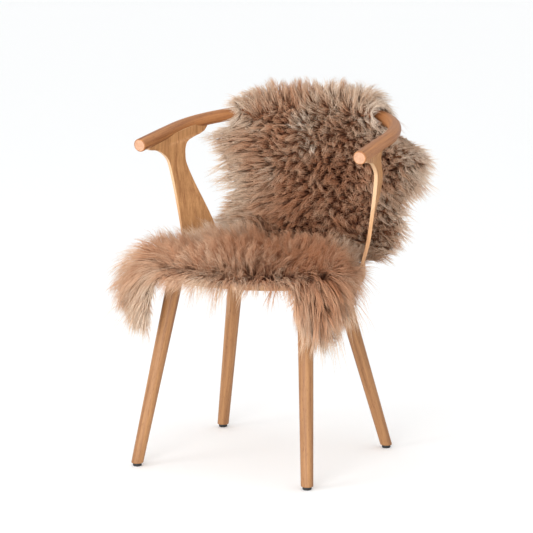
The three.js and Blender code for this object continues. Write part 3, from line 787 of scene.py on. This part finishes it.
# %% Wiring of node trees
class Tree:
    """Adds and wires the nodes of a tree."""

    def __init__(self, tree):
        self.tree = tree

    def add(self, kind, inputs=(), **settings):
        node = self.tree.nodes.new(kind)
        for key, value in settings.items():
            setattr(node, key, value)
        for key, value in dict(inputs).items():
            socket = node.inputs[key]
            if isinstance(value, bpy.types.NodeSocket):
                self.tree.links.new(value, socket)
            else:
                socket.default_value = value
        return node

    def math(self, operation, *values):
        return self.add("ShaderNodeMath", dict(enumerate(values)), operation=operation).outputs[0]

    def place(self):
        return self.add("ShaderNodeTexCoord").outputs["Object"]

    def vector(self, operation, *values):
        keys = (0, "Scale") if operation == "SCALE" else range(len(values))
        node = self.add("ShaderNodeVectorMath", dict(zip(keys, values)), operation=operation)
        return node.outputs[0]

    def noise(self, place, scale, detail, distortion=0.0):
        inputs = {"Vector": place, "Scale": scale, "Detail": detail, "Distortion": distortion}
        return self.add("ShaderNodeTexNoise", inputs).outputs[0]

    def stretch(self, value, low, high, start, stop):
        inputs = {"Value": value, "From Min": low, "From Max": high, "To Min": start, "To Max": stop}
        return self.add("ShaderNodeMapRange", inputs).outputs[0]

    def ramp(self, value, colours):
        node = self.add("ShaderNodeValToRGB", {0: value})
        stops = node.color_ramp.elements
        while len(stops) < len(colours):
            stops.new(0.5)
        for stop, (place, colour) in zip(stops, colours):
            stop.position = place
            stop.color = (*colour, 1.0)
        return node.outputs[0]

    def dress(self, shader, colour, height, strength, distance, roughness):
        inputs = {"Height": height, "Strength": strength, "Distance": distance}
        bump = self.add("ShaderNodeBump", inputs)
        self.tree.links.new(colour, shader.inputs["Base Color"])
        self.tree.links.new(bump.outputs[0], shader.inputs["Normal"])
        shader.inputs["Roughness"].default_value = roughness

    def named(self, name, kind="FLOAT_VECTOR"):
        node = self.add("GeometryNodeInputNamedAttribute", {"Name": name}, data_type=kind)
        return node.outputs["Attribute"]


print("wiring helper:", [name for name in vars(Tree) if name[0] != "_"])

# %% The hair tree
TIP_TAPER = 0.97
GIVEN = (("Taper", 0.7), ("Waves", 1.3), ("Tone width", 0.01))


def make_hair_tree(template):
    tree = bpy.data.node_groups.new("grow_hairs", "GeometryNodeTree")
    face = tree.interface
    face.new_socket("Geometry", in_out="INPUT", socket_type="NodeSocketGeometry")
    for name, default in GIVEN:
        socket = face.new_socket(name, in_out="INPUT", socket_type="NodeSocketFloat")
        socket.default_value = default
    face.new_socket("Material", in_out="INPUT", socket_type="NodeSocketMaterial")
    face.new_socket("Geometry", in_out="OUTPUT", socket_type="NodeSocketGeometry")
    t = Tree(tree)
    given = t.add("NodeGroupInput").outputs
    spike = t.add("GeometryNodeObjectInfo", {"Object": template}).outputs["Geometry"]
    copies = t.add("GeometryNodeInstanceOnPoints", {"Points": given["Geometry"], "Instance": spike})
    solid = t.add("GeometryNodeRealizeInstances", {"Geometry": copies.outputs[0]})
    shape = t.add("ShaderNodeSeparateXYZ", {0: t.named("shape")}).outputs
    way = shape["Z"]
    way_two = t.math("MULTIPLY", way, way)
    left = t.math("SUBTRACT", 1.0, t.math("MULTIPLY", way, TIP_TAPER))
    taper = t.math("POWER", left, given["Taper"])
    width = t.math("MULTIPLY", t.named("width", "FLOAT"), taper)
    turn = t.math("MULTIPLY", t.math("MULTIPLY", way, given["Waves"]), 2 * math.pi)
    swing = t.math("SINE", t.math("ADD", turn, t.named("phase", "FLOAT")))
    swing = t.math("MULTIPLY", t.math("MULTIPLY", swing, way), t.named("wave", "FLOAT"))
    off = t.math("ADD", t.math("MULTIPLY", shape["X"], width), swing)
    other_off = t.math("MULTIPLY", shape["Y"], width)
    place = t.named("root")
    for name, share in (("grow", way), ("bend", way_two), ("side", off), ("other", other_off)):
        place = t.vector("ADD", place, t.vector("SCALE", t.named(name), share))
    moved = t.add("GeometryNodeSetPosition", {"Geometry": solid.outputs[0], "Position": place})
    tone_off = t.math("MULTIPLY", shape["X"], given["Tone width"])
    tone = t.math("ADD", t.named("tone", "FLOAT"), tone_off)
    both = t.add("ShaderNodeCombineXYZ", {"X": tone, "Y": way}).outputs[0]
    inputs = {"Geometry": moved.outputs[0], "Name": "OFBake", "Value": both}
    stored = t.add("GeometryNodeStoreNamedAttribute", inputs, data_type="FLOAT2", domain="CORNER")
    smooth = t.add("GeometryNodeSetShadeSmooth", {"Geometry": stored.outputs[0]})
    inputs = {"Geometry": smooth.outputs[0], "Material": given["Material"]}
    dressed = t.add("GeometryNodeSetMaterial", inputs)
    out = t.add("NodeGroupOutput")
    tree.links.new(dressed.outputs[0], out.inputs[0])
    return tree


hair_tree = make_hair_tree(template)
print("hair tree:", len(hair_tree.nodes), "nodes")

# %% Growing the hairs
KEPT = {"position", "sharp_face", "material_index", "OFBake"}


def grow(name, chosen, tree, paint):
    """Grows the chosen hairs as one plain mesh."""
    numbers = {key: values[chosen] for key, values in hair.items()}
    numbers["root"] = to_scene(numbers["root"])
    for key in ("grow", "bend", "width", "wave"):
        numbers[key] = numbers[key] * MM
    cloud = mesh_object(name + "_roots", numbers["root"], [])
    for key, values in numbers.items():
        kind, field = ("FLOAT_VECTOR", "vector") if values.ndim == 2 else ("FLOAT", "value")
        made = cloud.data.attributes.new(key, kind, "POINT")
        made.data.foreach_set(field, np.ascontiguousarray(values, np.float32).ravel())
    modifier = cloud.modifiers.new("hairs", "NODES")
    modifier.node_group = tree
    sockets = {s.name: s.identifier for s in tree.interface.items_tree if s.in_out == "INPUT"}
    modifier[sockets["Material"]] = paint
    bpy.context.view_layer.update()
    graph = bpy.context.evaluated_depsgraph_get()
    mesh = bpy.data.meshes.new_from_object(cloud.evaluated_get(graph), preserve_all_data_layers=True,
                                           depsgraph=graph)
    for key in [a.name for a in mesh.attributes if not a.name.startswith(".")]:
        if key not in KEPT:
            mesh.attributes.remove(mesh.attributes[key])
    bpy.data.objects.remove(cloud)
    mesh.name = name
    made = stand(name, mesh)
    triangles = sum(len(p.vertices) - 2 for p in mesh.polygons)
    print(name, int(chosen.sum()), "hairs,", triangles, "triangles")
    return made


print("each hair carries", list(hair))

# %% [markdown]
# Wool takes light softly: it is rough, with a faint sheen. Its colour is painted darker towards
# the roots, as painted shade for where no light comes in between them. The tone along one side
# of the map picks the colour, from warm dark brown to pale beige, and the way from root to tip
# makes it darker at the root and bleached at the tip, and adds that painted shade near the root.

# %% Wool paint
TONE_COLOURS = [  # tone, colour in linear light
    (0.00, (0.320, 0.116, 0.050)),
    (0.25, (0.535, 0.248, 0.128)),
    (0.50, (0.630, 0.375, 0.235)),
    (0.75, (0.725, 0.545, 0.400)),
    (1.00, (0.875, 0.745, 0.620)),
]
# painted shade: the colour at the root is darkened to this share, and is full from this share of the
# way on
ROOT_SHADE, ROOT_SHADE_END = 0.6, 0.5
TIP_FADE, TIP_FADE_MIDDLE = 0.26, 0.5
WOOL_LOOK = {"Roughness": 0.8, "Specular IOR Level": 0.12, "Sheen Weight": 0.03, "Sheen Roughness": 0.5}
WOOL_PARTS = ("wool_front", "wool_seat", "wool_low_back", "wool_high_back", "wool_neck")


def make_wool_paint():
    paint, tree, shader = material("wool_paint")
    t = Tree(tree)
    place = t.add("ShaderNodeUVMap", uv_map="OFBake").outputs[0]
    parts = t.add("ShaderNodeSeparateXYZ", {0: place}).outputs
    faded = t.math("MULTIPLY", t.math("SUBTRACT", parts["Y"], TIP_FADE_MIDDLE), TIP_FADE)
    lifted = t.math("ADD", parts["X"], faded)
    # painted shade, darker towards the root of each hair
    shade = t.stretch(parts["Y"], 0.0, ROOT_SHADE_END, ROOT_SHADE, 1.0)
    colour = t.vector("SCALE", t.ramp(lifted, TONE_COLOURS), shade)
    tree.links.new(colour, shader.inputs["Base Color"])
    for socket, value in WOOL_LOOK.items():
        shader.inputs[socket].default_value = value
    return paint


def grow_fleece():
    wool_paint = make_wool_paint()
    # Parts of about equal size, by their place along the hide
    parts = np.array_split(np.argsort(roots[:, 1]), len(WOOL_PARTS))
    made = []
    for name, numbers in zip(WOOL_PARTS, parts):
        chosen = np.zeros(len(roots), bool)
        chosen[numbers] = True
        made.append(grow(name, chosen, hair_tree, wool_paint))
    bpy.data.objects.remove(template)
    return made


fleece = grow_fleece()
print("wool in", len(fleece), "pieces")

# %% [markdown]
# The flesh side of a tanned hide is suede: pale, matt and a little cloudy, with fine creases.
# It shows from behind, where the lobes hang free of the chair. Between the locks one sees the
# short dense underwool instead, so the hide's wool side is painted as that.

# %% Leather and underwool paint
LEATHER = (0.44, 0.29, 0.185)
UNDERWOOL = (0.31, 0.135, 0.07)


def shades(colour, places, strengths):
    return [(place, [c * strong for c in colour]) for place, strong in zip(places, strengths)]


def make_leather_paint():
    paint, tree, shader = material("leather_paint")
    t = Tree(tree)
    place = t.place()
    colour = t.ramp(t.noise(place, 14.0, 5.0), shades(LEATHER, (0.35, 0.68), (0.86, 1.12)))
    creases = t.math("MULTIPLY", t.noise(place, 38.0, 6.0, 1.2), 3.0)
    height = t.math("ADD", t.noise(place, 420.0, 3.0), creases)
    t.dress(shader, colour, height, strength=0.5, distance=0.0009, roughness=0.85)
    return paint


def make_underwool_paint():
    paint, tree, shader = material("underwool_paint")
    t = Tree(tree)
    tufts = t.noise(t.place(), 160.0, 5.0)
    colour = t.ramp(tufts, shades(UNDERWOOL, (0.35, 0.65), (0.7, 1.2)))
    t.dress(shader, colour, tufts, strength=0.8, distance=0.002, roughness=0.95)
    shader.inputs["Specular IOR Level"].default_value = 0.05
    return paint


hide.data.materials.append(make_leather_paint())
hide.data.materials.append(make_underwool_paint())
print("leather on", len(hide.data.polygons), "faces")

# %% [markdown]
# Oak shows long pale and dark bands along the grain, with short dark pores. One node group
# makes these for every piece of wood. It wants a place whose Z runs along the grain, and
# gives back a tone and a height. The legs and the rail are round, so their grain
# follows them: each point carries its own place inside the bar as it was before bending.

# %% Oak grain
BAND_SHARE = 0.65
PORE_DARK = 0.16
BAND_SQUEEZE, PORE_SQUEEZE = 0.035, 0.12  # along the grain, so that the pattern is long there
GRAIN_STOPS = (0.28, 0.66)


def make_grain_group():
    tree = bpy.data.node_groups.new("oak_grain", "ShaderNodeTree")
    face = tree.interface
    face.new_socket("Place", in_out="INPUT", socket_type="NodeSocketVector")
    face.new_socket("Tone", in_out="OUTPUT", socket_type="NodeSocketFloat")
    face.new_socket("Height", in_out="OUTPUT", socket_type="NodeSocketFloat")
    t = Tree(tree)
    place = t.add("NodeGroupInput").outputs["Place"]
    drawn = t.add("ShaderNodeMapping", {"Vector": place, "Scale": (1.0, 1.0, BAND_SQUEEZE)}).outputs[0]
    short = t.add("ShaderNodeMapping", {"Vector": place, "Scale": (1.0, 1.0, PORE_SQUEEZE)}).outputs[0]
    bands = t.noise(drawn, 120.0, 4.0, 0.3)
    fibres = t.noise(drawn, 420.0, 4.0)
    pores = t.noise(short, 800.0, 1.0)
    pits = t.stretch(pores, 0.6, 0.72, 0.0, 1.0)
    tone = t.math("ADD", t.math("MULTIPLY", bands, BAND_SHARE),
                  t.math("MULTIPLY", fibres, 1 - BAND_SHARE))
    tone = t.math("SUBTRACT", tone, t.math("MULTIPLY", pits, PORE_DARK))
    height = t.math("SUBTRACT", fibres, pits)
    out = t.add("NodeGroupOutput")
    tree.links.new(tone, out.inputs["Tone"])
    tree.links.new(height, out.inputs["Height"])
    return tree


OAKS = [  # name, darkest, palest (linear light), turn of the grain or None where points carry it
    ("oak_legs", (0.190, 0.077, 0.029), (0.420, 0.212, 0.088), None),
    ("oak_rail", (0.200, 0.069, 0.024), (0.470, 0.202, 0.072), None),
    ("oak_posts", (0.290, 0.119, 0.044), (0.620, 0.330, 0.140), (0.0, 0.0, 0.0)),
    ("oak_panel", (0.290, 0.119, 0.044), (0.620, 0.330, 0.140), (0.0, 0.0, 0.0)),
    ("oak_seat", (0.280, 0.130, 0.052), (0.560, 0.320, 0.145), (math.pi / 2, 0.0, 0.0)),
    ("oak_end", (0.400, 0.200, 0.115), (0.570, 0.330, 0.205), None),
]
PLY_EDGE = (0.62, 0.40, 0.23)


def make_oak(name, dark, pale, turn, group):
    paint, tree, shader = material(name)
    t = Tree(tree)
    if turn is None:
        place = t.add("ShaderNodeAttribute", attribute_name="grain").outputs["Vector"]
    else:
        place = t.add("ShaderNodeMapping", {"Vector": t.place(), "Rotation": turn}).outputs[0]
    grain = t.add("ShaderNodeGroup", {}, node_tree=group)
    tree.links.new(place, grain.inputs["Place"])
    colour = t.ramp(grain.outputs["Tone"], list(zip(GRAIN_STOPS, (dark, pale))))
    if name == "oak_posts":
        # The long sides face left and right; what faces elsewhere is the moulded board's edge
        outward = t.add("ShaderNodeNewGeometry").outputs["Normal"]
        normal = t.add("ShaderNodeSeparateXYZ", {0: outward}).outputs
        edge = t.stretch(t.math("ABSOLUTE", normal["X"]), 0.3, 0.42, 1.0, 0.0)
        mixed = t.add("ShaderNodeMix", {}, data_type="RGBA")
        tree.links.new(edge, mixed.inputs[0])
        tree.links.new(colour, mixed.inputs[6])
        mixed.inputs[7].default_value = (*PLY_EDGE, 1.0)
        colour = mixed.outputs[2]
    height = grain.outputs["Height"]
    t.dress(shader, colour, height, strength=0.25, distance=0.0004, roughness=0.52)
    shader.inputs["Specular IOR Level"].default_value = 0.35
    return paint


grain_group = make_grain_group()
oaks = {row[0]: make_oak(*row, grain_group) for row in OAKS}
print("oak paints", list(oaks))

# %% [markdown]
# The legs are turned: round, tapered towards the foot, with the foot's edge eased. The
# rail is a round bar, steamed and bent into a bow with two straight arms, and its ends are
# eased too and show end grain. Both are skins drawn through rings.

# %% Turned legs and bent rail
ROUND_SIDES = 48
LEG_PLACES = [  # name, foot x, foot y, top x, top y
    ("front_left", -212.0, -203.0, -160.0, -111.0),
    ("front_right", 212.0, -203.0, 160.0, -111.0),
    ("back_left", -216.0, 203.0, -126.0, 111.0),
    ("back_right", 216.0, 203.0, 126.0, 111.0),
]
LEG_BOTTOM, LEG_TOP, SEAT_BOTTOM = 7.0, 419.7, 420.0
FOOT_RADIUS, TOP_RADIUS, FOOT_EASE = 13.5, 18.0, 1.6
LEG_STRAIGHT, LEG_STEPS = 30.0, 12
RAIL_BACK_Y, RAIL_BEND, RAIL_TURN, RAIL_ARM = 322.8, 266.8, math.radians(88.2), 143.6
RAIL_END_Z, RAIL_BACK_Z, RAIL_CROWN = 700.9, 762.8, 0.149
RAIL_RADIUS, RAIL_EASE, RAIL_END = 15.0, 2.5, 8.0
RAIL_STEPS = 150
LEG_APART, RAIL_APART = 170.0, 900.0  # how far apart in the log the bars were cut


def round_bar(name, rings, alongs, offset, paints):
    """A closed bar through rings, in millimetres; its points know their place along the grain."""
    vertices, grain, faces = [], [], []
    angles = np.linspace(0, 2 * math.pi, ROUND_SIDES, endpoint=False)
    for (centre, side, up, radius), along in zip(rings, alongs):
        for angle in angles:
            x, y = radius * math.cos(angle), radius * math.sin(angle)
            vertices.append(centre + side * x + up * y)
            grain.append((x + offset, y - offset, along + offset))
    count = len(angles)
    for row in range(len(rings) - 1):
        for k in range(count):
            low, high, j = row * count, (row + 1) * count, (k + 1) % count
            faces.append((low + k, low + j, high + j, high + k))
    last = (len(rings) - 1) * count
    faces += [tuple(range(count))[::-1], tuple(range(last, last + count))]
    made = mesh_object(name, to_scene(np.array(vertices)), faces)
    turn_outward(made)
    field = made.data.attributes.new("grain", "FLOAT_VECTOR", "POINT")
    field.data.foreach_set("vector", (np.array(grain) * MM).ravel())
    for paint in paints:
        made.data.materials.append(paint)
    flat = [len(face.vertices) > 4 for face in made.data.polygons]
    made.data.polygons.foreach_set("use_smooth", [not end for end in flat])
    made.data.polygons.foreach_set("material_index", [int(end) for end in flat])
    return made


def eased(size, steps):
    """How far in and how deep a rounded edge is cut, from the end face to the side."""
    angles = np.linspace(math.pi / 2, 0, steps)
    return [(size * (1 - math.sin(a)), size * (1 - math.cos(a))) for a in angles]


def make_leg(number, name, foot_x, foot_y, top_x, top_y):
    level = [LEG_BOTTOM + run for run, _ in eased(FOOT_EASE, 5)]
    radius_cut = [cut for _, cut in eased(FOOT_EASE, 5)]
    level += list(np.linspace(LEG_STRAIGHT, LEG_TOP, LEG_STEPS))
    radius_cut += [0.0] * LEG_STEPS
    rings = []
    for z, cut in zip(level, radius_cut):
        share = z / SEAT_BOTTOM
        taper = (z - LEG_BOTTOM) / (LEG_TOP - LEG_BOTTOM)
        centre = np.array([foot_x + (top_x - foot_x) * share, foot_y + (top_y - foot_y) * share, z])
        radius = FOOT_RADIUS + (TOP_RADIUS - FOOT_RADIUS) * taper - cut
        rings.append((centre, np.array([1.0, 0, 0]), np.array([0, 1.0, 0]), radius))
    paints = [oaks["oak_legs"], oaks["oak_end"]]
    return round_bar(f"turned_leg_{name}", rings, level, LEG_APART * number, paints)


def rail_point(travel):
    turn = min(abs(travel) / RAIL_BEND, RAIL_TURN)
    straight = max(abs(travel) - RAIL_BEND * RAIL_TURN, 0.0)
    x = RAIL_BEND * math.sin(turn) + straight * math.cos(RAIL_TURN)
    y = RAIL_BACK_Y - RAIL_BEND * (1 - math.cos(turn)) - straight * math.sin(RAIL_TURN)
    end_y = RAIL_BACK_Y - RAIL_BEND * (1 - math.cos(RAIL_TURN)) - RAIL_ARM * math.sin(RAIL_TURN)
    rise = (y - end_y) / (RAIL_BACK_Y - end_y)
    z = RAIL_END_Z + (RAIL_BACK_Z - RAIL_END_Z) * (rise + RAIL_CROWN * rise * (1 - rise))
    return np.array([math.copysign(x, travel), y, z])


def make_rail():
    half = RAIL_BEND * RAIL_TURN + RAIL_ARM
    ease = eased(RAIL_EASE, 6)
    plain = half - RAIL_END
    travels = [-half + run for run, _ in ease] + list(np.linspace(-plain, plain, RAIL_STEPS))
    travels += [half - run for run, _ in reversed(ease)]
    cuts = [cut for _, cut in ease] + [0.0] * RAIL_STEPS + [cut for _, cut in reversed(ease)]
    rings = []
    for travel, cut in zip(travels, cuts):
        onward = rail_point(travel + 1.0) - rail_point(travel - 1.0)
        onward = onward / np.linalg.norm(onward)
        side = np.cross(onward, (0.0, 0.0, 1.0))
        side = side / np.linalg.norm(side)
        rings.append((rail_point(travel), side, np.cross(side, onward), RAIL_RADIUS - cut))
    paints = [oaks["oak_rail"], oaks["oak_end"]]
    return round_bar("bent_rail", rings, travels, RAIL_APART, paints)


legs = {row[0]: make_leg(number, *row) for number, row in enumerate(LEG_PLACES)}
rail = make_rail()
print(len(legs), "legs, rail faces", len(rail.data.polygons))

# %% [markdown]
# The seat, the posts and the back panel are moulded boards of oak veneers. Their solids are
# right as they are, so they only get their paint. The glides under the feet are black plastic.

# %% Paint for the solids that stay
GLIDE_BLACK = (0.012, 0.012, 0.013)


def repaint(name, paint):
    slots = bpy.data.objects[name].material_slots
    for held in slots:
        held.material = paint
    return len(slots)


def make_glide_paint():
    paint, tree, shader = material("glide_paint")
    t = Tree(tree)
    rough = t.stretch(t.noise(t.place(), 900.0, 2.0), 0.0, 1.0, 0.4, 0.7)
    tree.links.new(rough, shader.inputs["Roughness"])
    shader.inputs["Base Color"].default_value = (*GLIDE_BLACK, 1.0)
    return paint


for board in ("arm_post_left", "arm_post_right"):
    repaint(board, oaks["oak_posts"])
repaint("back_panel", oaks["oak_panel"])
repaint("seat_panel", oaks["oak_seat"])
glide_paint = make_glide_paint()
for side in SIDES:
    repaint(f"glide_{side}", glide_paint)
print("glides", len(SIDES))

# %% [markdown]
# Nothing on this chair moves, so every piece rides on the one body. The hide and its wool take
# the place of the plain fleece, and the turned legs and the bent rail of their plainer solids.
# The hide is a sheet that hangs over the seat and the rail, and the wool belongs to it.

# %% Who rides and who replaces
pieces = [(leg, f"leg_{side}", "oak") for side, leg in legs.items()]
pieces += [(rail, "top_rail", "oak")]
pieces += [(piece, "sheepskin", "wool") for piece in (hide, *fleece)]
for piece, node, slot in pieces:
    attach(piece, "root")
    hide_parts(node)
print("pieces on the root:", len(pieces))

# %% [markdown]
# The box of the solids was measured before anything was dressed. The wool may reach a little
# past its solid, because single hairs stand out of any fleece, but not far.

# %% Sizes
print("sizes")
